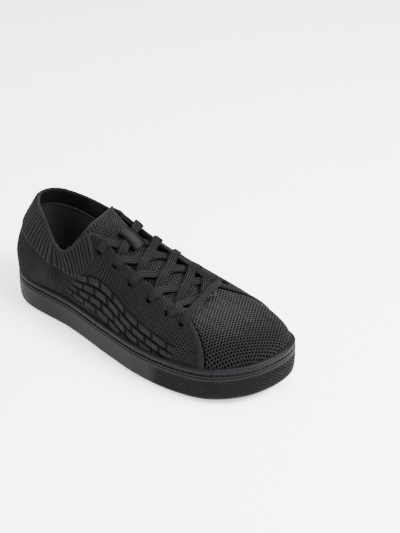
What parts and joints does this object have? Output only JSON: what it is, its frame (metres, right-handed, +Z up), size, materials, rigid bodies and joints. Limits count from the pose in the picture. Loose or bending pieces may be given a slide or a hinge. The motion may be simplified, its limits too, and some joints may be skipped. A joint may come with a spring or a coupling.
{
  "type": "lace-up knit sneaker, right shoe",
  "caption": "Low-top right sneaker with a ribbed knit collar, a laced perforated knit upper and a stitched rubber cup sole that bends at the ball of the foot.",
  "frame": {"origin": "on the ground, under the middle of the sole's length and width", "axes": "+X towards the toe, +Y towards the inner side of the foot, +Z up"},
  "size_m": [0.28, 0.0993, 0.1026],
  "materials": {
    "knit": "matte",
    "rib": "matte",
    "mesh": "matte",
    "lace": "matte",
    "rubber": "satin",
    "foam": "matte",
    "board": "matte",
    "stiffener": "matte",
    "lining": "matte",
    "webbing": "satin",
    "thread": "satin",
    "film": "gloss"
  },
  "bodies": {
    "rearfoot": {"outsole_rear": "rubber", "midsole_rear": "foam", "lasting_board_rear": "board", "sockliner_rear": "lining", "sole_thread_rear": "thread", "quarter_lateral": "knit", "quarter_medial": "knit", "rib_collar": "rib", "collar_lining": "lining", "heel_counter": "stiffener", "eyestay_lateral": "stiffener", "eyestay_medial": "stiffener", "tongue": "mesh", "lace": "lace", "lace_keeper": "webbing", "lace_tip_lateral": "film", "lace_tip_medial": "film"},
    "forefoot": {"outsole_front": "rubber", "midsole_front": "foam", "lasting_board_front": "board", "sockliner_front": "lining", "sole_thread_front": "thread", "toe_box": "mesh", "toe_puff": "stiffener"}
  },
  "joints": [
    {"name": "toe_flex", "type": "hinge", "parent": "rearfoot", "child": "forefoot", "pos_m": [0.06, 0, 0.014], "axis": [0, -1, 0], "range_deg": [0, 25], "stiffness_Nm_per_rad": 4, "deforming": ["quarter_lateral", "quarter_medial", "eyestay_lateral", "eyestay_medial", "tongue", "lace"]}
  ]
}
